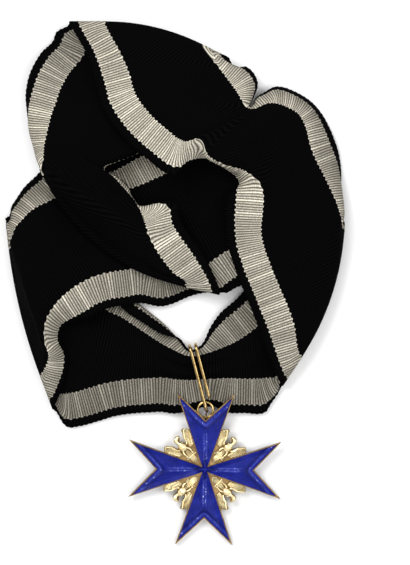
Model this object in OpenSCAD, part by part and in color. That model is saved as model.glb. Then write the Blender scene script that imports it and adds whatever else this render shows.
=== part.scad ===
// Order insignia lying on a table: an enamelled gold cross on a striped neck ribbon.

/* [Cross] */
// Distance from the middle of the cross to the outer points of an arm
arm_reach = 26.5; // [20:0.5:32]
// Half the spread between the two points of an arm
arm_spread = 10; // [6:0.5:13]
// Distance from the middle to the notch of an arm
notch_reach = 17.1; // [12:0.1:21]
// Half width of an arm where it leaves the middle
waist = 1.2; // [0.8:0.1:2.5]
// Thickness of the gold plate
plate_t = 1.2; // [0.8:0.1:2]
// Height of the gold rim above the plate on each face
rim_h = 0.35; // [0.2:0.05:0.8]
// Height of the enamel ridge above the plate
ridge_h = 1.15; // [0.5:0.05:2]
// Height of the enamel at the rim above the plate
enamel_low = 0.3; // [0.2:0.05:0.8]
// Thickness of the eagles
eagle_t = 1.5; // [1:0.1:2.4]
// Width of the gold rim along the arms
rim_w = 0.3; // [0.2:0.05:0.4]
// Tilt of the cross, its top arm resting on the ribbon
cross_tilt = 3.7; // [0:0.1:8]
// Turn of the cross on the table
cross_turn = -0.85; // [-10:0.05:10]

/* [Ring and wire] */
// Radius of the suspension ring at the middle of its wire
ring_r = 2.7; // [2:0.1:5]
// Thickness of the ring wire
ring_wire = 0.9; // [0.8:0.1:1]
// Height of the ring's middle above the table
ring_z = 2.75; // [2.7:0.05:2.8]
// Slope of the ring, its upper side lying on the ribbon
ring_tilt = 8.5; // [8:0.5:9]
// Thickness of the long loop's wire
loop_wire = 1.1; // [0.8:0.1:1.6]
// Distance between the two turns of the long loop
loop_pitch = 2.1; // [1.6:0.1:2.6]
// Length of the rounded end of the long loop
loop_bend = 2.2; // [1.6:0.1:2.6]
// Height of the front run of the long loop
loop_front_z = 6.1; // [6:0.1:9]
// Height of the back run of the long loop
loop_back_z = 0.6; // [0.55:0.05:0.7]

/* [Ribbon] */
// Thickness of the ribbon
ribbon_t = 1.0; // [0.6:0.1:2]
// Inner part of the margin, next to the black middle
margin_in = 7.4; // [5:0.1:9]
// Outer part of the margin, to the edge
margin_out = 4.4; // [3:0.1:6]

/* [Hidden] */
gap = 0.1;
shift = [0.2, 0.45, 0.1];
ribbon_drop = 0.5;
cross_x = 10.1;
cross_y = -65.2;
cross_z = 2.75;
tip_pull = [3.6, 2.3];
notch_pull = 1.4;
boss_at = 11;
boss_r = 1.3;
boss_rise = 0.35;
eye_z = -1.55;
eye_past_notch = 1;
fork_before_notch = 4.6;
crest_back = [7.5, 4.3];
wire_sides = 10;
ring_x = 10.3;
ring_y = -44.5;
eye_r = 1.05;
eye_wire = 0.7;
loop_top = [5.8, -21.9];
loop_end = [11.8, -44.8];
row_steps = 2;
col_steps = 2;

// Ribbon sections in order along the ribbon. Columns: ax ay az is the border of the black middle on side a,
// bx by bz the border on side b, crown the rise of the middle, bow its sideways bend, a_in a_out b_in b_out
// the slopes of the margin parts in degrees, a_len b_len the part of a margin left where it is gathered,
// pleat the height of the small pleats, along 0 for margins square to their border, 1 for margins along
// the row, 2 for only the a margin along the row, 3 for only the b margin
sections = [
  // hidden end under the right part, then the low layer that shows through the middle
  [22.5, 53.5, 6.5, 40.5, 22.5, 6.5, 0, 0, 0, 0, 0, 0, 1, 1, 0, 1],
  [-7, 36, 6, 12, 6.8, 6, 0, 0, 0, 0, 0, 0, 1, 1, 0, 1],
  [-22, 31.5, 5, 8.8, 3, 5.8, 0, -1.5, 0, 0, 0, 0, 0.8, 0.95, 0, 1],
  // fold along the lower left of the upper layer
  [-43.5, 38, 5.9, 3.8, -0.5, 6, 0, -6.5, 0, 0, 0, 0, 0.25, 0.9, 0, 1],
  [-46, 37, 7.5, 3.5, -1.6, 7.4, 0, -7.5, -20, -20, 0, 0, 0.2, 1, 0, 1],
  [-45.2, 38.4, 9.2, 3.6, 0.2, 8.8, 0.5, -6.5, -40, -50, 0, 0, 0.2, 1, 0, 1],
  // upper layer going up the left side
  [-46, 38.5, 10.6, -0.5, 3, 9.8, 1.5, -4, -60, -85, 0, 0, 0.3, 1, 0, 2],
  [-46, 39.6, 12.2, -9, 15.5, 12, 4, -1, -62, -95, 0, 0, 0.45, 1, 0, 2],
  [-45.8, 40.6, 12.6, -11.3, 22.8, 13.4, 4, -0.5, -60, -100, -5, -5, 0.6, 1, 0, 2],
  [-45.4, 42.5, 13, -13.8, 27.2, 15, 4, 0, -62, -110, -105, -115, 0.8, 0.5, 0, 0],
  [-45.2, 46, 13, -17, 31.2, 16.5, 4, 0, -58, -115, -80, -80, 1, 0.6, 0, 0],
  [-44.6, 49.5, 12.5, -21.5, 36, 17.2, 4, 0, -40, -100, -84, -84, 1, 0.6, 0, 0],
  [-43.8, 53.5, 11.5, -24.8, 39, 16, 4.5, 0, -22, -85, -110, -110, 1, 0.6, 0, 0],
  [-42.8, 57.8, 10.5, -19.8, 41.8, 13.2, 5, 0, -10, -65, -125, -125, 1, 0.5, 0, 0],
  [-41.4, 62, 9.5, -11.8, 45.8, 11.2, 4, 0, -4, -35, -125, -125, 1, 0.4, 0, 0],
  [-39.6, 67.5, 8, -9, 55.5, 10.4, 2, 0, 0, -10, -10, -10, 1, 0.7, 0, 0],
  [-36.6, 73, 6, -2, 61, 9.5, 1.2, 0, 0, 0, -5, -5, 1, 0.8, 0, 0],
  [-32.6, 78, 4.6, 3, 67, 8.4, 1, 0, -10, -10, 0, 0, 1, 1, 0, 0],
  [-30, 84, 3.8, 7.5, 74.5, 6.6, 0.6, 0, -5, -5, 0, 0, 1, 1, 0, 2],
  // fold over the top
  [-25.4, 88.8, 4.4, 8.4, 80.8, 5.6, 0, 1.8, 0, 0, 0, 0, 1, 1, 0, 1],
  [-24.8, 90.3, 6, 8.8, 82.4, 7.1, 0, 2, 0, 0, -5, -5, 1, 0.8, 0, 1],
  [-24.2, 88.6, 7.6, 9.4, 81, 8.6, 0, 1.8, 0, 0, -10, -20, 1, 0.75, 0, 1],
  // top layer coming down to the pinch
  [-19, 79, 10, 13.4, 75.8, 10.4, 1.2, 0.5, 0, 0, -22, -35, 1, 0.85, 0, 1],
  [-15.8, 71.5, 11.8, 18, 69.8, 11.6, 1.6, 0.5, 0, 0, -28, -50, 1, 0.85, 0, 0],
  [-14.2, 65.5, 13.8, 21.4, 65, 12.4, 1.6, 0.5, 0, 0, -30, -55, 1, 0.9, 0, 0],
  [-9.5, 58.5, 15.6, 23.4, 61.4, 12.8, 2, 0, 0, 0, -55, -75, 1, 0.7, 0, 0],
  [-3, 52.4, 16.8, 24.9, 59.8, 12.4, 2.5, 0, -5, -5, -80, -85, 1, 0.6, 0, 0],
  [3.2, 48.2, 18, 27.5, 59.6, 12.2, 3, 0, -5, -5, -68, -80, 1, 0.62, 0, 0],
  [8.6, 49, 19, 29.5, 60.5, 11.8, 3, 0, -25, -20, -52, -70, 1, 0.6, 0, 0],
  [11.6, 43.2, 19.4, 31.5, 61.4, 11.4, 3, 0, -86, -88, -50, -60, 0.9, 0.6, 0, 0],
  [16.8, 40.4, 19.4, 34, 61.6, 11.2, 4, 0, -86, -86, -45, -55, 0.9, 0.8, 0, 0],
  // right part coming down
  [24, 38.2, 17, 38, 60.5, 10.8, 4, 0, -66, -60, -50, -55, 1, 0.9, 0, 0],
  [29.4, 33.5, 14.5, 42.6, 57.6, 10.4, 4, 0, -22, -20, -52, -55, 1, 1, 0, 0],
  [29.8, 15.5, 11.5, 47.3, 44.5, 10, 3, 0, -8, -8, -38, -44, 1, 1, 0, 0],
  [32.2, 7.5, 11, 51, 37, 10, 2.4, 0, -8, -8, -42, -65, 1, 0.95, 0, 0],
  [36.5, -3, 10.2, 55, 28.5, 10, 2, 0, -8, -8, -54, -100, 1, 0.7, 0, 0],
  [40.8, -14, 9.4, 57, 22.5, 9, 1, -1, -8, -8, -68, -105, 1, 0.5, 0, 0],
  // fold on the right
  [42.6, -24.5, 7.6, 57.6, 18.8, 7.4, 0, -2.8, -8, -8, -40, -60, 1, 0.2, 0, 1],
  [43.6, -26, 5.8, 58.4, 18, 5.3, 0, -3, -8, -8, -20, -30, 1, 0.2, 0, 1],
  [42.4, -26.2, 4, 57.2, 17, 3.2, 0, -2.8, -6, -6, -5, -5, 0.95, 0.4, 0, 1],
  // low band along the bottom, gathered where the wire loop holds it
  [40, -29.8, 3, 53, 12.5, 2, 0, -2, -6, -6, 0, 0, 0.8, 0.7, 0, 1],
  [36, -32.6, 2.6, 45, 2.5, 1.8, 0.6, -0.6, -4, -4, 0, 0, 0.9, 1, 0, 2],
  [30, -33.5, 2.6, 36.5, -7, 2.2, 1.6, 0, -4, -4, 0, 0, 1, 1, 0, 0],
  [24, -33.6, 2.7, 28.5, -15.5, 2.8, 1.8, 0, -3, -3, 0, 0, 1, 1, 0.3, 0],
  [18, -33.4, 2.7, 21.5, -20.5, 3.2, 1.6, 0, -2, -2, 0, 0, 1, 0.95, 0.5, 0],
  [13.5, -33.6, 2.7, 15.5, -23.2, 3.6, 1.2, 0, -2, -2, 0, 0, 0.83, 0.7, 0.7, 0],
  [9.5, -33.8, 2.7, 9.6, -25.2, 4, 1, 0, -2, -2, 0, 0, 0.8, 0.26, 0.8, 0],
  [6, -34, 2.7, 4.8, -25.9, 4, 1, 0, -2, -2, 0, 20, 0.88, 0.18, 0.8, 0],
  [0, -33.8, 2.7, -1, -23.6, 3.8, 1.2, 0, -2, -2, 0, 70, 1, 0.5, 0.7, 0],
  [-4.5, -33.2, 2.7, -6.5, -20.6, 3.4, 1.6, 0, -2, -2, -5, 140, 1, 0.8, 0.6, 0],
  [-9.5, -33.4, 2.7, -12.5, -16.6, 3, 2, 0, -3, -3, -5, 160, 1, 0.9, 0.4, 0],
  [-17.5, -34, 2.8, -19.3, -12.2, 2.8, 2, 0, -4, -4, -5, 160, 1, 0.95, 0.2, 0],
  [-24.5, -35.2, 2.8, -26, -9, 2.4, 1.6, 0, -5, -5, -3, 100, 1, 1, 0, 0],
  [-30.5, -37, 2.2, -31.5, -4, 2, 1, 0, -4, -4, -2, 20, 1, 1, 0, 0],
  [-36, -38.5, 2.6, -40, 2.5, 1.8, 0.6, 0, -5, -5, 0, 0, 1, 1, 0, 0],
  [-40.5, -38.8, 2.6, -49.5, 8, 1.8, 0.3, 0.5, -5, -5, 0, 0, 1, 1, 0, 1],
  // fold on the left
  [-45.6, -34, 3.2, -56.8, 10.4, 2.9, 0, 1.2, -4, -4, -6, -10, 1, 0.85, 0, 1],
  [-47, -32.5, 5, -57.8, 11, 4.7, 0, 1.3, -4, -4, -10, -15, 1, 0.8, 0, 1],
  [-45.8, -31, 7.2, -57, 12, 6.6, 0.5, 1.2, -15, -15, -12, -20, 1, 0.8, 0, 1],
  // left part going up and to the right, under the folded layers
  [-43.8, -25.5, 11.6, -57.2, 14, 8.4, 1, 1, -52, -52, -26, -32, 0.85, 0.76, 0, 3],
  [-45.3, -20.5, 13.8, -56.4, 16, 8.8, 1.6, 1, -60, -60, -42, -50, 0.9, 0.88, 0, 3],
  [-45, -14, 14.2, -55.3, 18.8, 8.8, 2.2, 0.5, -58, -58, -42, -48, 1, 0.9, 0, 3],
  [-42.5, -8.8, 13, -53, 21.6, 8.5, 2.4, 0, -42, -40, -43, -45, 1, 0.9, 0, 3],
  [-37.5, -3.5, 10.8, -49.5, 25, 8.2, 2.2, 0, -15, -15, -42, -38, 1, 0.95, 0, 3],
  [-31.5, 0.5, 9, -44.5, 27.8, 6, 1.2, 0, -8, -8, -28, -26, 1, 0.95, 0, 3],
  [-25.5, 2.8, 7.6, -39.5, 30.5, 2.6, 0.6, 0, -6, -6, -5, -5, 1, 1, 0, 0],
  [-18.5, 4, 6, -33.5, 32.5, 2, 0, 0, -5, -5, 0, 0, 1, 1, 0, 0],
  [-12.5, 4.8, 4.4, -27, 34.5, 2, 0, 0, -2, 0, 0, 0, 1, 1, 0, 0],
  [-5.5, 3.6, 3.6, -20, 35, 2.2, 0, 0, -5, -5, 0, 0, 1, 1, 0, 0],
  [4, 6, 3.8, -11.5, 35.5, 3.2, 0, 0, -10, -10, 0, 0, 0.9, 1, 0, 0],
  [15.5, 8.8, 4.9, -2, 39.5, 4.6, 0, 0, 0, 0, 0, 0, 1, 1, 0, 1],
  [28.5, 15.5, 5, 11, 46.5, 5, 0, 0, 0, 0, 0, 0, 1, 1, 0, 1]
];

// Helpers
function unit(v) = v / max(norm(v), 0.0001);
function blend(p, q, s) = p + (q - p) * s;
function hump(v) = 16 * v * v * (1 - v) * (1 - v);
function bend(v) = 4 * v * (1 - v);
function slope(out, deg) = [out.x * cos(deg), out.y * cos(deg), sin(deg)];

// Direction out over a margin, square to the border line whose corners start at column c
function square_out(i, c, d) =
  let(
    p = sections[max(i - 1, 0)],
    q = sections[min(i + 1, len(sections) - 1)],
    t = [q[c] - p[c], q[c + 1] - p[c + 1]],
    n = unit([-t.y, t.x, 0])
  )
  n * d > 0 ? n : -n;

// The nine points across one ribbon section
function section_points(i) =
  let(
    r = sections[i],
    a = [r[0], r[1], r[2]],
    b = [r[3], r[4], r[5]],
    d = b - a,
    side = unit([-d.y, d.x, 0]),
    along_a = unit([-d.x, -d.y, 0] - 4 * r[7] * side),
    along_b = unit([d.x, d.y, 0] - 4 * r[7] * side),
    out_a = r[15] == 1 || r[15] == 2 ? along_a : square_out(i, 0, along_a),
    out_b = r[15] == 1 || r[15] == 3 ? along_b : square_out(i, 3, along_b),
    a_mid = a + margin_in * r[12] * slope(out_a, r[8]),
    a_edge = a_mid + margin_out * r[12] * slope(out_a, r[9]),
    b_mid = b + margin_in * r[13] * slope(out_b, r[10]),
    b_edge = b_mid + margin_out * r[13] * slope(out_b, r[11]),
    mid = [for (v = [0.25, 0.5, 0.75])
      blend(a, b, v) + [0, 0, r[6] * hump(v) + r[14] * (v == 0.5 ? -1 : 1)] + r[7] * bend(v) * side]
  )
  [a_edge, a_mid, a, mid[0], mid[1], mid[2], b, b_mid, b_edge];

// Smooth curve through a list of points
function heading(p, i) =
  i == 0 ? unit(p[1] - p[0]) :
  i == len(p) - 1 ? unit(p[i] - p[i - 1]) :
  unit(unit(p[i + 1] - p[i]) + unit(p[i] - p[i - 1]));
function arc_point(p, i, s) =
  let(
    c = norm(p[i + 1] - p[i]),
    t0 = c * heading(p, i),
    t1 = c * heading(p, i + 1)
  )
  p[i] * (2 * s * s * s - 3 * s * s + 1) + t0 * (s * s * s - 2 * s * s + s)
  + p[i + 1] * (3 * s * s - 2 * s * s * s) + t1 * (s * s * s - s * s);
function smooth(p, n) = concat(
  [for (i = [0 : len(p) - 2]) for (k = [0 : n - 1]) k == 0 ? p[i] : arc_point(p, i, k / n)],
  [p[len(p) - 1]]);

// Grid of points on the middle of the ribbon
controls = [for (i = [0 : len(sections) - 1]) section_points(i)];
columns = [for (j = [0 : 8]) smooth([for (c = controls) c[j]], row_steps)];
rows_n = len(columns[0]);
grid = [for (i = [0 : rows_n - 1]) smooth([for (j = [0 : 8]) columns[j][i]], col_steps)];
cols_n = len(grid[0]);
function grid_normal(i, j) = unit(cross(
  unit(grid[min(i + 1, rows_n - 1)][j] - grid[max(i - 1, 0)][j]),
  unit(grid[i][min(j + 1, cols_n - 1)] - grid[i][max(j - 1, 0)])));

module ribbon() {
  half = ribbon_t / 2;
  upper = [for (i = [0 : rows_n - 1]) for (j = [0 : cols_n - 1]) grid[i][j] + half * grid_normal(i, j)];
  lower = [for (i = [0 : rows_n - 1]) for (j = [0 : cols_n - 1]) grid[i][j] - half * grid_normal(i, j)];
  m = rows_n * cols_n;
  last_r = rows_n - 1;
  last_c = cols_n - 1;
  faces = concat(
    [for (i = [0 : last_r - 1]) for (j = [0 : last_c - 1]) for (k = [0, 1])
      let(p = i * cols_n + j, q = p + 1, s = p + cols_n, t = s + 1)
      k == 0 ? [p, q, t] : [p, t, s]],
    [for (i = [0 : last_r - 1]) for (j = [0 : last_c - 1]) for (k = [0, 1])
      let(p = m + i * cols_n + j, q = p + 1, s = p + cols_n, t = s + 1)
      k == 0 ? [p, t, q] : [p, s, t]],
    [for (i = [0 : last_r - 1]) for (k = [0, 1])
      let(p = i * cols_n, s = p + cols_n)
      k == 0 ? [p, s, s + m] : [p, s + m, p + m]],
    [for (i = [0 : last_r - 1]) for (k = [0, 1])
      let(p = i * cols_n + last_c, s = p + cols_n)
      k == 0 ? [p, s + m, s] : [p, p + m, s + m]],
    [for (j = [0 : last_c - 1]) for (k = [0, 1])
      k == 0 ? [j, j + 1 + m, j + 1] : [j, j + m, j + 1 + m]],
    [for (j = [0 : last_c - 1]) for (k = [0, 1])
      let(p = last_r * cols_n + j)
      k == 0 ? [p, p + 1, p + 1 + m] : [p, p + 1 + m, p + m]]
  );
  color([0.06, 0.06, 0.06])
  translate([0, 0, -ribbon_drop])
    polyhedron(points = concat(upper, lower), faces = faces, convexity = 10);
}

// Places a part of the cross on the table
module on_cross() {
  translate([cross_x, cross_y, cross_z]) rotate([cross_tilt, 0, 0]) rotate([0, 0, cross_turn]) children();
}

// Corners of an arm, drawn in from its outline by inset
function arm_tip(inset) = [arm_reach, arm_spread] - tip_pull * inset;
function arm_notch(inset) = notch_reach - notch_pull * inset;
function arm_outline(inset) =
  let(
    tip = arm_tip(inset),
    w = waist - inset
  )
  [[0, 0], [w, -w], [tip.x, -tip.y], [arm_notch(inset), 0], [tip.x, tip.y], [w, w]];

// Outline of one eagle between two arms, its beak towards the second arm
eagle_outline = [
  [1, 1], [3, 1.6], [13.6, 5.3], [14.2, 5.9], [14.3, 7.1], [14.1, 7.9], [12.6, 7.6], [11, 7.5],
  [10.3, 6.8], [9.7, 6.9], [9.4, 7.6], [9.5, 8.8], [10.1, 9.4], [10.8, 10.2], [10, 10.9], [9.1, 11.5],
  [8.8, 10.6], [9, 9.6], [8.6, 9.1], [7.9, 8.9], [7.1, 9.1], [6.8, 9.8], [7, 10.7], [7.8, 11.5],
  [8, 12.7], [8.5, 13.5], [8.2, 14.1], [7.4, 13.8], [6.6, 14.1], [5.6, 13.9], [5.1, 13.2], [1.6, 3]
];

module cross_body() {
  color([0.85, 0.65, 0.25])
  on_cross() {
    for (quarter = [0 : 3]) rotate([0, 0, 90 * quarter]) {
      translate([0, 0, -plate_t / 2]) linear_extrude(height = plate_t) polygon(arm_outline(0));
      for (face = [plate_t / 2 - 0.01, -plate_t / 2 - rim_h + 0.01])
        translate([0, 0, face]) linear_extrude(height = rim_h)
          difference() {
            polygon(arm_outline(0));
            polygon(arm_outline(rim_w));
            translate([-1, -0.9]) square([2.5, 1.8]);
          }
      // the beaks of all four eagles point to the upright arms
      translate([0, 0, -eagle_t / 2]) linear_extrude(height = eagle_t)
        rotate([0, 0, 45]) mirror([0, quarter % 2, 0]) rotate([0, 0, -45]) polygon(eagle_outline);
      rotate([0, 0, 45]) translate([boss_at, 0, 0])
        cylinder(h = eagle_t + 2 * boss_rise, r = boss_r, center = true, $fn = 24);
    }
    // eye soldered behind the notch of the top arm
    translate([0.1, notch_reach + eye_past_notch, eye_z]) rotate([0, 90, 0])
      rotate_extrude($fn = 32) translate([eye_r, 0]) circle(d = eye_wire, $fn = 16);
  }
}

// One arm of the enamel as a solid of flat facets
module enamel_arm() {
  inset = rim_w + gap;
  tip = arm_tip(inset);
  notch = arm_notch(inset);
  w = waist - inset;
  fork = notch_reach - fork_before_notch;
  crest = [arm_reach, arm_spread] - crest_back;
  top = ridge_h;
  pts = [
    [-w, w, 0], [-w, -w, 0], [w, -w, 0], [tip.x, -tip.y, 0], [notch, 0, 0], [tip.x, tip.y, 0], [w, w, 0],
    [-w, w, enamel_low], [-w, -w, enamel_low], [w, -w, enamel_low], [tip.x, -tip.y, enamel_low],
    [notch, 0, enamel_low], [tip.x, tip.y, enamel_low], [w, w, enamel_low],
    [0, 0, 0.8 * top], [fork, 0, top], [crest.x, -crest.y, 0.8 * top], [crest.x, crest.y, 0.8 * top]
  ];
  polyhedron(points = pts, faces = [
    [0, 1, 2, 6], [2, 3, 4], [2, 4, 6], [6, 4, 5],
    [1, 0, 7, 8], [2, 1, 8, 9], [3, 2, 9, 10], [4, 3, 10, 11], [5, 4, 11, 12], [6, 5, 12, 13],
    [0, 6, 13, 7], [8, 7, 14], [9, 8, 14], [7, 13, 14],
    [10, 9, 16], [9, 14, 15], [9, 15, 16], [11, 10, 16], [11, 16, 15],
    [13, 12, 17], [13, 17, 15], [13, 15, 14], [12, 11, 17], [11, 15, 17]
  ], convexity = 4);
}

module enamel_front() {
  color([0.08, 0.12, 0.6])
  on_cross() translate([0, 0, plate_t / 2 + gap])
    for (turn = [0 : 90 : 270]) rotate([0, 0, turn]) enamel_arm();
}

module enamel_back() {
  color([0.08, 0.12, 0.6])
  on_cross() rotate([180, 0, 0]) translate([0, 0, plate_t / 2 + gap])
    for (turn = [0 : 90 : 270]) rotate([0, 0, turn]) enamel_arm();
}

module ring() {
  color([0.85, 0.65, 0.25])
  translate([ring_x, ring_y, ring_z]) rotate([ring_tilt, 0, 0])
    rotate_extrude($fn = 48) translate([ring_r, 0]) circle(d = ring_wire, $fn = 20);
}

// Path of the wire round a long upright oval
loop_len = norm(loop_end - loop_top);
loop_half_h = (loop_front_z - loop_back_z) / 2;
loop_dir = (loop_end - loop_top) / loop_len;
function oval(s, off) =
  // s runs once round: to 1 the back run, to 2 the lower end, to 3 the front run, to 4 the upper end
  let(
    run = loop_len - 2 * loop_bend,
    u = s <= 1 ? loop_bend + run * s :
        s <= 2 ? loop_bend + run + loop_bend * sin(180 * (s - 1)) :
        s <= 3 ? loop_bend + run * (3 - s) :
        loop_bend - loop_bend * sin(180 * (s - 3)),
    z = s <= 1 ? loop_back_z :
        s <= 2 ? loop_back_z + loop_half_h * (1 - cos(180 * (s - 1))) :
        s <= 3 ? loop_front_z :
        loop_front_z - loop_half_h * (1 - cos(180 * (s - 3)))
  )
  [loop_top.x + loop_dir.x * u - loop_dir.y * off, loop_top.y + loop_dir.y * u + loop_dir.x * off, z];
// from the free end at the front, round the back, through the ring, up the front and on to the back
right = loop_pitch / 2;
wire_path = concat(
  [for (k = [0 : 4]) oval(2.1 + 0.9 * k / 4, right)],
  [for (k = [1 : 10]) oval(3 + k / 10, right)],
  [for (k = [1 : 8]) oval(k / 8, right - loop_pitch * k / 8)],
  [for (k = [1 : 10]) oval(1 + k / 10, -right)],
  [for (k = [1 : 4]) oval(2 + k / 4, -right)],
  [for (k = [1 : 10]) oval(3 + k / 10, -right)],
  [for (k = [1 : 3]) oval(k / 8, -right)]
);

module wire_loop() {
  n = len(wire_path);
  sides = wire_sides;
  across = [-loop_dir.y, loop_dir.x, 0];
  pts = [for (i = [0 : n - 1]) for (k = [0 : sides - 1])
    let(
      t = unit(wire_path[min(i + 1, n - 1)] - wire_path[max(i - 1, 0)]),
      e = unit(across - (across * t) * t),
      f = cross(t, e)
    )
    wire_path[i] + loop_wire / 2 * (cos(360 * k / sides) * e + sin(360 * k / sides) * f)];
  faces = concat(
    [for (i = [0 : n - 2]) for (k = [0 : sides - 1]) for (h = [0, 1])
      let(p = i * sides + k, q = i * sides + (k + 1) % sides)
      h == 0 ? [p, p + sides, q + sides] : [p, q + sides, q]],
    [[for (k = [0 : sides - 1]) k]],
    [[for (k = [sides - 1 : -1 : 0]) (n - 1) * sides + k]]
  );
  color([0.85, 0.65, 0.25]) polyhedron(points = pts, faces = faces, convexity = 6);
}

translate(shift) ribbon();
translate(shift) cross_body();
translate(shift) enamel_front();
translate(shift) enamel_back();
translate(shift) ring();
translate(shift) wire_loop();
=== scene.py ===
"""Order insignia lying on a table: a blue enamelled gold cross on a striped neck ribbon."""
import math

import bmesh
import bpy
import numpy as np
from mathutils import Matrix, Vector


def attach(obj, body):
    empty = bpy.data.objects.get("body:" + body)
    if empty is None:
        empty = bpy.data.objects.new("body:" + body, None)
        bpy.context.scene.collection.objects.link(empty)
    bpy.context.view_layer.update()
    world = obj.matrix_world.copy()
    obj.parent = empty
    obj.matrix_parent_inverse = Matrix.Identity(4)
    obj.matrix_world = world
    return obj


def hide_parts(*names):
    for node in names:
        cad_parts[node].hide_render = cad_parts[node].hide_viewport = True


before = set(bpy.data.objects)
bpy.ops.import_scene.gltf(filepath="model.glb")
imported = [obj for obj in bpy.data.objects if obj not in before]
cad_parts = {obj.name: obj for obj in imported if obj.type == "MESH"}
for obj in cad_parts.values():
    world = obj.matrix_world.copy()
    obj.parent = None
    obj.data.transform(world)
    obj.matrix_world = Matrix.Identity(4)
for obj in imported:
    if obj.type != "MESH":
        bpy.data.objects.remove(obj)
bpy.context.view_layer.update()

# Every length below is in millimetres until it becomes a mesh. SHIFT is the CAD's own shift, which puts the
# origin under the middle of the part
MM = 0.001
UV_MM = 100.0
SHIFT = np.array([0.2, 0.45, 0.1])

# The view: the photo's size in pixels, its scale and the point at its middle
PHOTO_PX = (410, 565)
MM_PER_PX = 0.3475
VIEW_MIDDLE = (10.35, 0.3)
VIEW_PLANE_Z = 5.0
CAMERA_AWAY = 900.0

# The cross
CROSS_AT = np.array([10.1, -65.2, 2.75])
CROSS_TILT = math.radians(3.7)
CROSS_TURN = math.radians(-0.85)
ARM_REACH = 26.5
ARM_SPREAD = 10.0
NOTCH_REACH = 17.1
WAIST = 1.2
PLATE_T = 1.2
GAP = 0.1
RIM_W = 0.3
ENAMEL_INSET = RIM_W + GAP
ENAMEL_LOW = 0.3
RIDGE_H = 1.15
EAGLE_T = 1.5

# The ring and the wire loop
RING_AT = np.array([10.3, -44.5, 2.75])
RING_R = 2.7
RING_WIRE = 0.9
RING_TILT = math.radians(8.5)
LOOP_TOP = np.array([5.8, -21.9])
LOOP_END = np.array([11.8, -44.8])
LOOP_WIRE = 1.1
LOOP_PITCH = 2.1
LOOP_BEND = 2.2
LOOP_FRONT_Z = 6.1
LOOP_BACK_Z = 0.6

# The ribbon
RIBBON_W = 59.4
RIBBON_LENGTH = 495.0
RIBBON_T = 0.6
RIBBON_DROP = 0.5
MARGIN_IN = 7.4
MARGIN_OUT = 4.4
EDGE_W = 2.7
STRIPE_W = 9.1
RIB = 0.87
RIB_REACH = 3.0
MOST_AHEAD = 4.0
LEAST_STEP = 1e-4
EDGE_R = 0.3
EDGE_BEAD = 0.1

# Painted shade on the silver thread, by height: the share of its full tone that it keeps on the table, and
# what that share gains per mm of height
SHADED_TONE_LOW = 0.25
SHADED_TONE_RISE = 0.06

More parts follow.
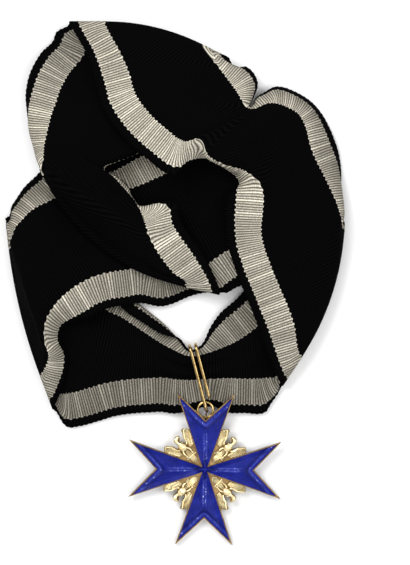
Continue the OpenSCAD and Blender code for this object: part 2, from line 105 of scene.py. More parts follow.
# Ribbon sections in order along the ribbon. Columns: ax ay az is the border of the black middle on side a,
# bx by bz the border on side b, crown the rise of the middle, bow its sideways bend, a_in a_out b_in b_out
# the slopes of the margin parts in degrees, a_len b_len the part of a margin left where it is gathered,
# pleat the height of the small pleats, along 0 for margins square to their border, 1 for margins along
# the row, 2 for only the a margin along the row, 3 for only the b margin
SECTIONS = np.array([
    # hidden end under the right part, then the low layer that shows through the middle
    [22.5, 53.5, 6.5, 40.5, 22.5, 6.5, 0, 0, 0, 0, 0, 0, 1, 1, 0, 1],
    [-7, 36, 6, 12, 6.8, 6, 0, 0, 0, 0, 0, 0, 1, 1, 0, 1],
    [-22, 31.5, 5, 8.8, 3, 5.8, 0, -1.5, 0, 0, 0, 0, 0.8, 0.95, 0, 1],
    # fold along the lower left of the upper layer
    [-43.5, 38, 5.9, 3.8, -0.5, 6, 0, -6.5, 0, 0, 0, 0, 0.25, 0.9, 0, 1],
    [-46, 37, 7.5, 3.5, -1.6, 7.4, 0, -7.5, -20, -20, 0, 0, 0.2, 1, 0, 1],
    [-45.2, 38.4, 9.2, 3.6, 0.2, 8.8, 0.5, -6.5, -40, -50, 0, 0, 0.2, 1, 0, 1],
    # upper layer going up the left side
    [-46, 38.5, 10.6, -0.5, 3, 9.8, 1.5, -4, -60, -85, 0, 0, 0.3, 1, 0, 2],
    [-46, 39.6, 12.2, -9, 15.5, 12, 4, -1, -62, -95, 0, 0, 0.45, 1, 0, 2],
    [-45.8, 40.6, 12.6, -11.3, 22.8, 13.4, 4, -0.5, -60, -100, -5, -5, 0.6, 1, 0, 2],
    [-45.4, 42.5, 13, -13.8, 27.2, 15, 4, 0, -62, -110, -105, -115, 0.8, 0.5, 0, 0],
    [-45.2, 46, 13, -17, 31.2, 16.5, 4, 0, -58, -115, -80, -80, 1, 0.6, 0, 0],
    [-44.6, 49.5, 12.5, -21.5, 36, 17.2, 4, 0, -40, -100, -84, -84, 1, 0.6, 0, 0],
    [-43.8, 53.5, 11.5, -24.8, 39, 16, 4.5, 0, -22, -85, -110, -110, 1, 0.6, 0, 0],
    [-42.8, 57.8, 10.5, -19.8, 41.8, 13.2, 5, 0, -10, -65, -125, -125, 1, 0.5, 0, 0],
    [-41.4, 62, 9.5, -11.8, 45.8, 11.2, 4, 0, -4, -35, -125, -125, 1, 0.4, 0, 0],
    [-39.6, 67.5, 8, -9, 55.5, 10.4, 2, 0, 0, -10, -10, -10, 1, 0.7, 0, 0],
    [-36.6, 73, 6, -2, 61, 9.5, 1.2, 0, 0, 0, -5, -5, 1, 0.8, 0, 0],
    [-32.6, 78, 4.6, 3, 67, 8.4, 1, 0, -10, -10, 0, 0, 1, 1, 0, 0],
    [-30, 84, 3.8, 7.5, 74.5, 6.6, 0.6, 0, -5, -5, 0, 0, 1, 1, 0, 2],
    # fold over the top
    [-25.4, 88.8, 4.4, 8.4, 80.8, 5.6, 0, 1.8, 0, 0, 0, 0, 1, 1, 0, 1],
    [-24.8, 90.3, 6, 8.8, 82.4, 7.1, 0, 2, 0, 0, -5, -5, 1, 0.8, 0, 1],
    [-24.2, 88.6, 7.6, 9.4, 81, 8.6, 0, 1.8, 0, 0, -10, -20, 1, 0.75, 0, 1],
    # top layer coming down to the pinch
    [-19, 79, 10, 13.4, 75.8, 10.4, 1.2, 0.5, 0, 0, -22, -35, 1, 0.85, 0, 1],
    [-15.8, 71.5, 11.8, 18, 69.8, 11.6, 1.6, 0.5, 0, 0, -28, -50, 1, 0.85, 0, 0],
    [-14.2, 65.5, 13.8, 21.4, 65, 12.4, 1.6, 0.5, 0, 0, -30, -55, 1, 0.9, 0, 0],
    [-9.5, 58.5, 15.6, 23.4, 61.4, 12.8, 2, 0, 0, 0, -55, -75, 1, 0.7, 0, 0],
    [-3, 52.4, 16.8, 24.9, 59.8, 12.4, 2.5, 0, -5, -5, -80, -85, 1, 0.6, 0, 0],
    [3.2, 48.2, 18, 27.5, 59.6, 12.2, 3, 0, -5, -5, -68, -80, 1, 0.62, 0, 0],
    [8.6, 49, 19, 29.5, 60.5, 11.8, 3, 0, -25, -20, -52, -70, 1, 0.6, 0, 0],
    [11.6, 43.2, 19.4, 31.5, 61.4, 11.4, 3, 0, -86, -88, -50, -60, 0.9, 0.6, 0, 0],
    [16.8, 40.4, 19.4, 34, 61.6, 11.2, 4, 0, -86, -86, -45, -55, 0.9, 0.8, 0, 0],
    # right part coming down
    [24, 38.2, 17, 38, 60.5, 10.8, 4, 0, -66, -60, -50, -55, 1, 0.9, 0, 0],
    [29.4, 33.5, 14.5, 42.6, 57.6, 10.4, 4, 0, -22, -20, -52, -55, 1, 1, 0, 0],
    [29.8, 15.5, 11.5, 47.3, 44.5, 10, 3, 0, -8, -8, -38, -44, 1, 1, 0, 0],
    [32.2, 7.5, 11, 51, 37, 10, 2.4, 0, -8, -8, -42, -65, 1, 0.95, 0, 0],
    [36.5, -3, 10.2, 55, 28.5, 10, 2, 0, -8, -8, -54, -100, 1, 0.7, 0, 0],
    [40.8, -14, 9.4, 57, 22.5, 9, 1, -1, -8, -8, -68, -105, 1, 0.5, 0, 0],
    # fold on the right
    [42.6, -24.5, 7.6, 57.6, 18.8, 7.4, 0, -2.8, -8, -8, -40, -60, 1, 0.2, 0, 1],
    [43.6, -26, 5.8, 58.4, 18, 5.3, 0, -3, -8, -8, -20, -30, 1, 0.2, 0, 1],
    [42.4, -26.2, 4, 57.2, 17, 3.2, 0, -2.8, -6, -6, -5, -5, 0.95, 0.4, 0, 1],
    # low band along the bottom, gathered where the wire loop holds it
    [40, -29.8, 3, 53, 12.5, 2, 0, -2, -6, -6, 0, 0, 0.8, 0.7, 0, 1],
    [36, -32.6, 2.6, 45, 2.5, 1.8, 0.6, -0.6, -4, -4, 0, 0, 0.9, 1, 0, 2],
    [30, -33.5, 2.6, 36.5, -7, 2.2, 1.6, 0, -4, -4, 0, 0, 1, 1, 0, 0],
    [24, -33.6, 2.7, 28.5, -15.5, 2.8, 1.8, 0, -3, -3, 0, 0, 1, 1, 0.3, 0],
    [18, -33.4, 2.7, 21.5, -20.5, 3.2, 1.6, 0, -2, -2, 0, 0, 1, 0.95, 0.5, 0],
    [13.5, -33.6, 2.7, 15.5, -23.2, 3.6, 1.2, 0, -2, -2, 0, 0, 0.83, 0.7, 0.7, 0],
    [9.5, -33.8, 2.7, 9.6, -25.2, 4, 1, 0, -2, -2, 0, 0, 0.8, 0.26, 0.8, 0],
    [6, -34, 2.7, 4.8, -25.9, 4, 1, 0, -2, -2, 0, 20, 0.88, 0.18, 0.8, 0],
    [0, -33.8, 2.7, -1, -23.6, 3.8, 1.2, 0, -2, -2, 0, 70, 1, 0.5, 0.7, 0],
    [-4.5, -33.2, 2.7, -6.5, -20.6, 3.4, 1.6, 0, -2, -2, -5, 140, 1, 0.8, 0.6, 0],
    [-9.5, -33.4, 2.7, -12.5, -16.6, 3, 2, 0, -3, -3, -5, 160, 1, 0.9, 0.4, 0],
    [-17.5, -34, 2.8, -19.3, -12.2, 2.8, 2, 0, -4, -4, -5, 160, 1, 0.95, 0.2, 0],
    [-24.5, -35.2, 2.8, -26, -9, 2.4, 1.6, 0, -5, -5, -3, 100, 1, 1, 0, 0],
    [-30.5, -37, 2.2, -31.5, -4, 2, 1, 0, -4, -4, -2, 20, 1, 1, 0, 0],
    [-36, -38.5, 2.6, -40, 2.5, 1.8, 0.6, 0, -5, -5, 0, 0, 1, 1, 0, 0],
    [-40.5, -38.8, 2.6, -49.5, 8, 1.8, 0.3, 0.5, -5, -5, 0, 0, 1, 1, 0, 1],
    # fold on the left
    [-45.6, -34, 3.2, -56.8, 10.4, 2.9, 0, 1.2, -4, -4, -6, -10, 1, 0.85, 0, 1],
    [-47, -32.5, 5, -57.8, 11, 4.7, 0, 1.3, -4, -4, -10, -15, 1, 0.8, 0, 1],
    [-45.8, -31, 7.2, -57, 12, 6.6, 0.5, 1.2, -15, -15, -12, -20, 1, 0.8, 0, 1],
    # left part going up and to the right, under the folded layers
    [-43.8, -25.5, 11.6, -57.2, 14, 8.4, 1, 1, -52, -52, -26, -32, 0.85, 0.76, 0, 3],
    [-45.3, -20.5, 13.8, -56.4, 16, 8.8, 1.6, 1, -60, -60, -42, -50, 0.9, 0.88, 0, 3],
    [-45, -14, 14.2, -55.3, 18.8, 8.8, 2.2, 0.5, -58, -58, -42, -48, 1, 0.9, 0, 3],
    [-42.5, -8.8, 13, -53, 21.6, 8.5, 2.4, 0, -42, -40, -43, -45, 1, 0.9, 0, 3],
    [-37.5, -3.5, 10.8, -49.5, 25, 8.2, 2.2, 0, -15, -15, -42, -38, 1, 0.95, 0, 3],
    [-31.5, 0.5, 9, -44.5, 27.8, 6, 1.2, 0, -8, -8, -28, -26, 1, 0.95, 0, 3],
    [-25.5, 2.8, 7.6, -39.5, 30.5, 2.6, 0.6, 0, -6, -6, -5, -5, 1, 1, 0, 0],
    [-18.5, 4, 6, -33.5, 32.5, 2, 0, 0, -5, -5, 0, 0, 1, 1, 0, 0],
    [-12.5, 4.8, 4.4, -27, 34.5, 2, 0, 0, -2, 0, 0, 0, 1, 1, 0, 0],
    [-5.5, 3.6, 3.6, -20, 35, 2.2, 0, 0, -5, -5, 0, 0, 1, 1, 0, 0],
    [4, 6, 3.8, -11.5, 35.5, 3.2, 0, 0, -10, -10, 0, 0, 0.9, 1, 0, 0],
    [15.5, 8.8, 4.9, -2, 39.5, 4.6, 0, 0, 0, 0, 0, 0, 1, 1, 0, 1],
    [28.5, 15.5, 5, 11, 46.5, 5, 0, 0, 0, 0, 0, 0, 1, 1, 0, 1]
], float)
A, A_LEN, B, B_LEN = slice(0, 3), 12, slice(3, 6), 13
CROWN, BOW, A_IN, A_OUT, B_IN, B_OUT, PLEAT, ALONG = 6, 7, 8, 9, 10, 11, 14, 15


def unit(v):
    """Vectors of length one, along the last axis."""
    return v / np.maximum(np.linalg.norm(v, axis=-1, keepdims=True), 1e-4)


def run_length(line):
    """The length of a line of points up to each of them."""
    return np.concatenate([[0], np.cumsum(np.linalg.norm(np.diff(line, axis=0), axis=1))])


def read_at(at, length, line):
    """Points of a line at these lengths along it."""
    return np.stack([np.interp(at, length, line[:, k]) for k in range(3)], axis=-1)


def spread(values, n):
    """Evenly placed values, read at n even steps."""
    return np.interp(np.linspace(0, 1, n), np.linspace(0, 1, len(values)), values)


# The ribbon's surface


def square_out(i, side, outward):
    """Direction out over a margin, square to its border."""
    before, after = SECTIONS[max(i - 1, 0)], SECTIONS[min(i + 1, len(SECTIONS) - 1)]
    t = (after - before)[side][:2]
    n = unit(np.array([-t[1], t[0], 0.0]))
    return n if n @ outward > 0 else -n


def slope(out, degrees):
    """A level direction tipped up by some degrees."""
    turned = math.radians(degrees)
    return np.array([out[0] * math.cos(turned), out[1] * math.cos(turned), math.sin(turned)])


def section_points(i):
    """The nine points across one ribbon section."""
    r = SECTIONS[i]
    a, b = r[A], r[B]
    d = b - a
    side = unit(np.array([-d[1], d[0], 0.0]))
    # a bow of height 1 leaves its ends at a slope of 4
    out_a = unit(np.array([-d[0], -d[1], 0.0]) - 4 * r[BOW] * side)
    out_b = unit(np.array([d[0], d[1], 0.0]) - 4 * r[BOW] * side)
    if r[ALONG] in (0, 3):
        out_a = square_out(i, A, out_a)
    if r[ALONG] in (0, 2):
        out_b = square_out(i, B, out_b)
    a_mid = a + MARGIN_IN * r[A_LEN] * slope(out_a, r[A_IN])
    a_edge = a_mid + MARGIN_OUT * r[A_LEN] * slope(out_a, r[A_OUT])
    b_mid = b + MARGIN_IN * r[B_LEN] * slope(out_b, r[B_IN])
    b_edge = b_mid + MARGIN_OUT * r[B_LEN] * slope(out_b, r[B_OUT])
    middle = []
    for v in (0.25, 0.5, 0.75):
        rise = r[CROWN] * 16 * v * v * (1 - v) ** 2 + r[PLEAT] * (-1 if v == 0.5 else 1)
        middle.append(a + d * v + np.array([0, 0, rise]) + r[BOW] * 4 * v * (1 - v) * side)
    return np.array([a_edge, a_mid, a, *middle, b, b_mid, b_edge])


def smooth(p, steps):
    """Smooth curves through p along its first axis, with steps pieces in each stretch."""
    d = np.diff(p, axis=0)
    size = np.linalg.norm(d, axis=-1, keepdims=True)
    u = d / np.maximum(size, 1e-6)
    heading = np.concatenate([u[:1], unit(u[1:] + u[:-1]), u[-1:]])
    out = []
    for i, n in enumerate(steps):
        for s in np.arange(n) / n:
            out.append(p[i] * (2 * s**3 - 3 * s * s + 1) + size[i] * heading[i] * (s**3 - 2 * s * s + s)
                       + p[i + 1] * (3 * s * s - 2 * s**3) + size[i] * heading[i + 1] * (s**3 - s * s))
    return np.array(out + [p[-1]])


ROW_LENGTH = 0.7
LEAST_ROWS = 6
COLUMN_STEPS = [4, 5, 4, 4, 4, 4, 5, 4]
FLAT_AT = [0, MARGIN_OUT, MARGIN_OUT + MARGIN_IN]
FLAT_AT += [FLAT_AT[2] + (RIBBON_W / 2 - FLAT_AT[2]) * q for q in (0.5, 1.0, 1.5)]
FLAT_AT += [RIBBON_W - w for w in reversed(FLAT_AT[:3])]


def ribbon_surface():
    """The ribbon's middle surface as a grid of points, with their places along and across the flat ribbon."""
    controls = np.array([section_points(i) for i in range(len(SECTIONS))])
    controls[..., 2] -= RIBBON_DROP
    longest = np.linalg.norm(np.diff(controls, axis=0), axis=-1).max(axis=1)
    steps = np.maximum(LEAST_ROWS, np.ceil(longest / ROW_LENGTH)).astype(int)
    fine = smooth(controls + SHIFT, steps)
    grid = smooth(fine.transpose(1, 0, 2), COLUMN_STEPS).transpose(1, 0, 2)
    across = np.concatenate([np.linspace(FLAT_AT[k], FLAT_AT[k + 1], n, endpoint=False)
                             for k, n in enumerate(COLUMN_STEPS)] + [[RIBBON_W]])
    a_mid, a_in = COLUMN_STEPS[0], sum(COLUMN_STEPS[:2])
    b_in, b_mid = sum(COLUMN_STEPS[:6]), sum(COLUMN_STEPS[:7])

    def along_margin(ref, columns):
        """Length along a margin, square to it, for each of these columns."""
        line = grid[:, ref]
        length = run_length(line)
        step = read_at(length + RIB_REACH, length, line) - read_at(length - RIB_REACH, length, line)
        ahead = np.einsum("ijk,ik->ij", grid[:, columns] - line[:, None], unit(step))
        return (length[:, None] + np.clip(ahead, -MOST_AHEAD, MOST_AHEAD)) * RIBBON_LENGTH / length[-1]

    along = np.zeros(grid.shape[:2])
    along[:, : a_in + 1] = along_margin(a_mid, slice(0, a_in + 1))
    along[:, b_in:] = along_margin(b_mid, slice(b_in, None))
    share = (across[a_in:b_in + 1] - across[a_in]) / (across[b_in] - across[a_in])
    along[:, a_in:b_in + 1] = along[:, [a_in]] * (1 - share) + along[:, [b_in]] * share
    along = np.maximum.accumulate(along, axis=0) + np.arange(len(along))[:, None] * LEAST_STEP
    return grid, along, across


# Mesh helpers

SAME_POINT_M = 2e-6
NO_LENGTH_M = 1e-7


class Parts:
    """Collects points and faces of several parts, to make one mesh of them."""

    def __init__(self):
        self.points = []
        self.faces = []
        self.uv = []
        self.count = 0

    def add(self, points, faces, uv=None):
        points = np.asarray(points, float).reshape(-1, 3)
        self.points.append(points)
        self.faces.extend(tuple(i + self.count for i in f) for f in faces)
        if uv is not None:
            self.uv.append(np.asarray(uv, float).reshape(-1, 2))
        self.count += len(points)

    def build(self, name, material, place=None, merge=False):
        points = np.concatenate(self.points)
        if place is not None:
            points = place(points)
        mesh = bpy.data.meshes.new(name)
        mesh.from_pydata((points * MM).tolist(), [], self.faces)
        if self.uv:
            uv = np.concatenate(self.uv)
            layer = mesh.uv_layers.new(name="Place")
            corner = np.empty(len(mesh.loops), np.int32)
            mesh.loops.foreach_get("vertex_index", corner)
            layer.data.foreach_set("uv", uv[corner].astype(np.float32).ravel())
        if merge:
            work = bmesh.new()
            work.from_mesh(mesh)
            bmesh.ops.remove_doubles(work, verts=work.verts, dist=SAME_POINT_M)
            bmesh.ops.dissolve_degenerate(work, edges=work.edges, dist=NO_LENGTH_M)
            bmesh.ops.recalc_face_normals(work, faces=work.faces)
            work.to_mesh(mesh)
            work.free()
        mesh.polygons.foreach_set("use_smooth", [True] * len(mesh.polygons))
        mesh.materials.append(material)
        obj = bpy.data.objects.new(name, mesh)
        bpy.context.scene.collection.objects.link(obj)
        return obj


def grid_faces(rows, columns, start=0, flip=False):
    """Four-sided faces of a grid of points in row order."""
    faces = []
    for i in range(rows - 1):
        for j in range(columns - 1):
            p = start + i * columns + j
            f = (p, p + 1, p + columns + 1, p + columns)
            faces.append(f[::-1] if flip else f)
    return faces


def sweep(path, half_w, half_h, sides=10, across=None):
    """Points and faces of a solid with oval sections along a path; across sets the sections' first axis."""
    path = np.asarray(path, float)
    n = len(path)
    t = unit(np.gradient(path, axis=0))
    if across is None:
        e = unit(np.stack([-t[:, 1], t[:, 0], np.zeros(n)], axis=1))
    else:
        across = np.broadcast_to(np.asarray(across, float), path.shape)
        e = unit(across - np.einsum("ij,ij->i", across, t)[:, None] * t)
    f = np.cross(t, e)
    turn = np.arange(sides) * 2 * math.pi / sides
    w = np.broadcast_to(half_w, n)[:, None, None]
    h = np.broadcast_to(half_h, n)[:, None, None]
    ring = path[:, None] + w * np.cos(turn)[None, :, None] * e[:, None] \
        + h * np.sin(turn)[None, :, None] * f[:, None]
    faces = []
    for i in range(n - 1):
        for k in range(sides):
            p, q = i * sides + k, i * sides + (k + 1) % sides
            faces.append((p, p + sides, q + sides, q))
    faces.append(tuple(range(sides)))
    faces.append(tuple((n - 1) * sides + k for k in reversed(range(sides))))
    return ring.reshape(-1, 3), faces


def resample(points, n):
    """A soft curve of n points through a few given ones."""
    points = np.asarray(points, float)
    steps = [max(2, math.ceil(n / (len(points) - 1)))] * (len(points) - 1)
    return smooth(points, steps)


def turned(points, angle, axis):
    """Points turned about the X or Z axis through the origin."""
    c, s = math.cos(angle), math.sin(angle)
    m = np.array([[1, 0, 0], [0, c, -s], [0, s, c]]) if axis == "X" else \
        np.array([[c, -s, 0], [s, c, 0], [0, 0, 1]])
    return points @ m.T


def on_cross(points):
    """From the cross's own frame to where it lies."""
    return turned(turned(points, CROSS_TURN, "Z"), CROSS_TILT, "X") + CROSS_AT + SHIFT


# The ribbon's cloth as one sheet with two faces, and the rib ends along its edges


def make_ribbon(material, grid, normal, along, across):
    """The cloth: a top and a bottom face half its thickness off the surface, and the four sides between."""
    n, m = grid.shape[:2]
    top, bottom = grid + normal * RIBBON_T / 2, grid - normal * RIBBON_T / 2
    uv = np.stack([along, np.broadcast_to(across, along.shape)], axis=-1) / UV_MM
    faces = grid_faces(n, m) + grid_faces(n, m, start=n * m, flip=True)
    under = n * m
    for i in range(n - 1):
        p, q = i * m, i * m + m - 1
        faces += [(p, p + m, p + m + under, p + under), (q, q + under, q + m + under, q + m)]
    for j in range(m - 1):
        p, q = j, (n - 1) * m + j
        faces += [(p, p + under, p + 1 + under, p + 1), (q, q + 1, q + 1 + under, q + under)]
    parts = Parts()
    parts.add(np.concatenate([top.reshape(-1, 3), bottom.reshape(-1, 3)]), faces,
              np.concatenate([uv.reshape(-1, 2)] * 2))
    return parts.build("ribbon_cloth", material)


def make_edges(material, grid):
    """A beaded cord along each edge: the ends of the ribs."""
    parts = Parts()
    sides = 6
    steps_per_rib = 4
    flatness = 0.9
    for edge, inward, place in ((0, 1, 0.0), (-1, -2, RIBBON_W)):
        line = grid[:, edge]
        length = run_length(line)
        marks = np.arange(0, length[-1], RIB / steps_per_rib)
        path, out = (read_at(marks, length, f) for f in (line, line - grid[:, inward]))
        # the cord stays above the table
        path[:, 2] = np.maximum(path[:, 2], EDGE_R + EDGE_BEAD)
        half = EDGE_R + EDGE_BEAD * np.cos(math.pi * marks / RIB)
        points, faces = sweep(path, half, half * flatness, sides, out)
        uv = np.stack([np.repeat(marks, sides), np.full(len(marks) * sides, place)], axis=-1) / UV_MM
        parts.add(points, faces, uv)
    return parts.build("ribbon_edges", material)


# The enamel of an arm, in two halves, each a grid with its rows along the arm

ENAMEL_ROWS = 120
ENAMEL_COLUMNS = 24
CREST_AT = NOTCH_REACH - 4.6
# How far an inset of 1 mm pulls in the tip, along and across, and the notch
TIP_PULL = (3.6, 2.3)
NOTCH_PULL = 1.4
# How high the enamel stands along the arm, as a share of the ridge, at 0, 6 mm, the crest and the tip
CREST_SHARE = (0.75, 0.95, 1.0, 0.55)
# Grooves, painted highlight streaks and painted shade: strength, distance from their line, half width
MIDDLE_GROOVE = (0.22, 0.0, 0.3)
FORK_GROOVE = (0.2, 1.5, 0.4)
SLANT_GROOVE = (0.12, 1.25, 0.35)
MIDDLE_HIGHLIGHT = (1.0, 0.45, 0.22)
FORK_HIGHLIGHT = (0.75, 1.0, 0.35)
SLANT_HIGHLIGHT = (0.5, 1.5, 0.4)
FORK_SHADE = (1.0, 2.0, 0.5)
SLANT_SHADE = (1.0, 0.0, 0.5)
RIPPLE = 0.03
# Where along the arm these begin or end, and over how many mm
MIDDLE_BEGINS = (2.5, 3)
MIDDLE_ENDS = (CREST_AT - 0.7, 1.5)
FORK_BEGINS = (CREST_AT - 3, 2)
FORK_HIGHLIGHT_BEGINS = (CREST_AT - 2, 2)
SLANT_BEGINS = (5, 4)
SLANT_HIGHLIGHT_BEGINS = (7, 5)
# The least half width that room is compared with
LEAST_WIDTH = 0.5
# Over how many mm two distances blend, the grooves fade in and the relief is rounded off
SIDE_SOFT = 0.5
FORK_SOFT = 0.7
INSIDE_RUN = 0.9
ROUND_RUN = 0.25


def soft_min(a, b, k):
    """The smaller of a and b, rounded over where they are within k."""
    h = np.clip(0.5 + 0.5 * (b - a) / k, 0, 1)
    return b * (1 - h) + a * h - k * h * (1 - h)


def band(distance, strength, at, half):
    """A soft band of this strength where distance is near at."""
    return strength * np.exp(-((distance - at) / half) ** 2)


def fade_in(x, start, run):
    """From 0 at start to 1 a run further on."""
    return np.clip((x - start) / run, 0, 1)


def enamel_relief(x, y, tip, notch, w):
    """Height, painted highlight streaks and painted shade at these points of an arm's upper half."""
    edge = np.array([tip[0] - w, tip[1] - w])
    along, across = edge / np.linalg.norm(edge)
    fork = np.array([tip[0] - notch, tip[1]])
    fork_x, fork_y = fork / np.linalg.norm(fork)
    # the slant mirrors the outer edge at the waist, and the valley runs beside that edge, 1.5 mm inside it;
    # room is how far a point is from the nearest of these lines and the fork
    from_slant = abs((y - w) * along + (x - w) * across)
    from_valley = abs((x - w) * across - (y + w) * along)
    foot = (x - notch) * fork_x + y * fork_y
    from_fork = np.where(foot < 0, np.hypot(x - notch, y), abs(y * fork_x - (x - notch) * fork_y))
    room = soft_min(soft_min(from_slant, from_valley, SIDE_SOFT), from_fork, FORK_SOFT)
    half_width = (w + (x - w) * edge[1] / edge[0]) * along
    widest = (w + (CREST_AT - w) * edge[1] / edge[0]) * along
    most = np.where(x < CREST_AT, half_width, widest * (tip[0] + 1 - x) / (tip[0] + 1 - CREST_AT))
    t = np.clip(room / np.maximum(most, LEAST_WIDTH), 0, 1)
    profile = 0.35 * t + 0.65 * t * t * (3 - 2 * t)
    rise = (RIDGE_H - ENAMEL_LOW) * profile * np.interp(x, [0, 6, CREST_AT, tip[0]], CREST_SHARE)
    inside = fade_in(room, 0, INSIDE_RUN)
    middle = fade_in(x, *MIDDLE_BEGINS) * (1 - fade_in(x, *MIDDLE_ENDS))
    rise -= middle * band(y, *MIDDLE_GROOVE)
    rise -= inside * band(from_fork, *FORK_GROOVE) * fade_in(x, *FORK_BEGINS)
    rise -= inside * band(from_slant, *SLANT_GROOVE) * fade_in(x, *SLANT_BEGINS)
    rise += RIPPLE * inside * np.sin(1.1 * x + 0.7 * y) * np.sin(1.3 * y - 0.5 * x)
    # painted highlight streaks along the middle, beside the fork and beside the slant
    highlight_streak = middle * band(abs(y), *MIDDLE_HIGHLIGHT)
    highlight_streak += inside * band(from_fork, *FORK_HIGHLIGHT) * fade_in(x, *FORK_HIGHLIGHT_BEGINS)
    highlight_streak += inside * band(from_slant, *SLANT_HIGHLIGHT) * fade_in(x, *SLANT_HIGHLIGHT_BEGINS)
    # painted shade: a darker blue in a band 2 mm inside the fork and along the slant
    painted_shade = band(from_fork, *FORK_SHADE) + band(from_slant, *SLANT_SHADE)
    # rounded off where there is no room
    height = ENAMEL_LOW * (0.4 + 0.6 * np.sqrt(fade_in(room, 0, ROUND_RUN))) + rise
    return height, highlight_streak, painted_shade


def enamel_half(side):
    """Points, faces and painted highlight and shade values of one half of an arm, on side 1 or -1 of its
    middle line.
    """
    i = ENAMEL_INSET
    tip = np.array([ARM_REACH - TIP_PULL[0] * i, ARM_SPREAD - TIP_PULL[1] * i])
    notch = NOTCH_REACH - NOTCH_PULL * i
    w = WAIST - i
    r = tip[0] * np.linspace(0, 1, ENAMEL_ROWS)
    r[np.argmin(abs(r - notch))] = notch
    outer = np.minimum(r, w + (r - w) * (tip[1] - w) / (tip[0] - w))
    inner = np.maximum(0, (r - notch) * tip[1] / (tip[0] - notch))
    x = np.repeat(r[:, None], ENAMEL_COLUMNS, axis=1)
    y = inner[:, None] + (outer - inner)[:, None] * np.linspace(0, 1, ENAMEL_COLUMNS)
    height, highlight_streak, painted_shade = enamel_relief(x, y, tip, notch, w)
    top = np.stack([x, y * side, height], axis=-1).reshape(-1, 3)
    base = np.stack([x, y * side, np.zeros_like(x)], axis=-1).reshape(-1, 3)
    n, m = ENAMEL_ROWS, ENAMEL_COLUMNS
    faces = grid_faces(n, m) + grid_faces(n, m, start=n * m, flip=True)
    for k in range(n - 1):
        q = k * m + m - 1
        faces.append((q, q + n * m, q + m + n * m, q + m))
        if r[k] >= notch - 1e-6:
            p = k * m
            faces.append((p, p + m, p + m + n * m, p + n * m))
    # the painted highlight and painted shade values, stored with each point
    light_and_shade = np.clip(np.stack([highlight_streak, painted_shade], axis=-1), 0, 1).reshape(-1, 2)
    return np.concatenate([top, base]), faces, np.concatenate([light_and_shade, light_and_shade])


def make_enamel(name, node, material, back):
    """The four arms of one face of the cross, joined over its middle."""
    parts = Parts()
    halves = [enamel_half(side) for side in (1, -1)]
    for k in range(4):
        for points, faces, light_and_shade in halves:
            parts.add(turned(points, k * math.pi / 2, "Z"), faces, light_and_shade)

    def place(points):
        points = points + np.array([0, 0, PLATE_T / 2 + GAP])
        return on_cross(turned(points, math.pi, "X") if back else points)

    obj = parts.build(name, material, place=place, merge=True)
    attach(obj, "root")
    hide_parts(node)
    return obj


# An eagle: feathers, body, head, legs and tail, each a solid along a short line. Wing places are x, y in the
# cross's frame, for the eagle between the +X and +Y arms. The others are the distance out along the diagonal
# and the distance to its side
FEATHERS = [((9.6, 4.3), 0.34), ((10.7, 4.65), 0.36), ((11.8, 5.0), 0.36), ((12.9, 5.35), 0.34),
            ((13.6, 5.75), 0.3), ((14.05, 6.3), 0.28), ((14.2, 6.8), 0.26), ((14.15, 7.35), 0.24)]
FEATHER_ROOTS = ((8.1, 5.2), (9.8, 6.5))
FEATHER_H = 0.3
COVERT_H = 0.16
COVERT_SHARE = 0.8
QUILL_W, QUILL_H = 0.07, 0.1
# A feather's bend at its middle, and a covert's start, rise and end beside the feather under it
FEATHER_BEND = np.array([0.05, -0.15, 0.12])
COVERT_START = np.array([-0.3, 0.0, 0.2])
COVERT_RISE = np.array([0.0, 0.0, 0.28])
COVERT_END = np.array([-0.1, 0.12, 0.22])
SHOULDER = [(8.7, 6.6), (9.6, 6.5), (10.5, 6.9), (11.2, 7.35), (12.6, 7.5), (14.0, 7.75)]
SHOULDER_W = [0.3, 0.42, 0.42, 0.38, 0.32, 0.2]
# Heights over the face of its plate
ROOT_UP = 0.1
TIP_UP = 0.05
SHOULDER_UP = 0.22
BODY_UP = 0.1
NECK_UP = 0.4
LEG_UP = 0.25
# The body from its tail end to its neck: places, half widths and half heights
BODY_AT = [9.3, 10.0, 10.9, 11.8, 12.6]
BODY_W = [0.45, 1.15, 1.5, 1.2, 0.6]
BODY_H = [0.4, 0.9, 1.2, 1.0, 0.6]
# The body's middle and its half sizes along and across, for the height that its scales lie on
BODY_MIDDLE = 11
BODY_HALF = (1.9, 1.4)
SCALE_ROWS = (9.9, 10.5, 11.1, 11.7, 12.2)
SCALE_SIDE = 0.8
SCALE_STEP = 0.5
SCALE_FRONT, SCALE_BACK, SCALE_UP = 0.36, 0.3, 0.1
SCALE_W = [0.08, 0.2, 0.22, 0.16, 0.06]
SCALE_H = [0.05, 0.1, 0.12, 0.1, 0.04]
NECK = [(12.2, 0.0), (13.0, 0.3), (13.8, 0.35), (14.4, 0.05), (14.65, -0.65), (14.5, -1.5)]
NECK_W = [0.85, 0.5, 0.66, 0.8, 0.5, 0.14]
CREST_ROOT = (13.9, 0.2)
CREST_W, CREST_H = 0.2, 0.16
CREST_TIPS = [(14.95, 0.5), (15.15, 0.05), (15.05, -0.45)]
LEG = [(10.0, 0.8), (9.0, 1.35), (7.8, 1.2)]
LEG_W, LEG_H = (0.42, 0.22), (0.4, 0.2)
CLAWS = [(6.7, 1.9), (6.3, 1.3), (6.6, 0.7)]
CLAW_W = (0.17, 0.07)
BOLT = [(6.55, -2.1, 0.1), (6.7, 0.0, 0.3), (6.55, 2.1, 0.1)]
BOLT_R = 0.2
TAIL_ROOT = 9.6
TAIL_MIDDLE = 9.3
TAIL_W, TAIL_H = 0.24, 0.18
TAIL_TIPS = [(4.5, -0.85), (3.9, -0.45), (3.7, 0.0), (3.9, 0.45), (4.5, 0.85)]


def diagonal(p, q, z):
    """A point p out along the diagonal and q to its side."""
    return np.array([(p + q) / math.sqrt(2), (p - q) / math.sqrt(2), z])


def taper(n, root, belly, tip):
    """Half widths of a feather from root to tip."""
    return np.interp(np.linspace(0, 1, n), [0, 0.55, 0.9, 1], [root, belly, belly * 0.75, tip])


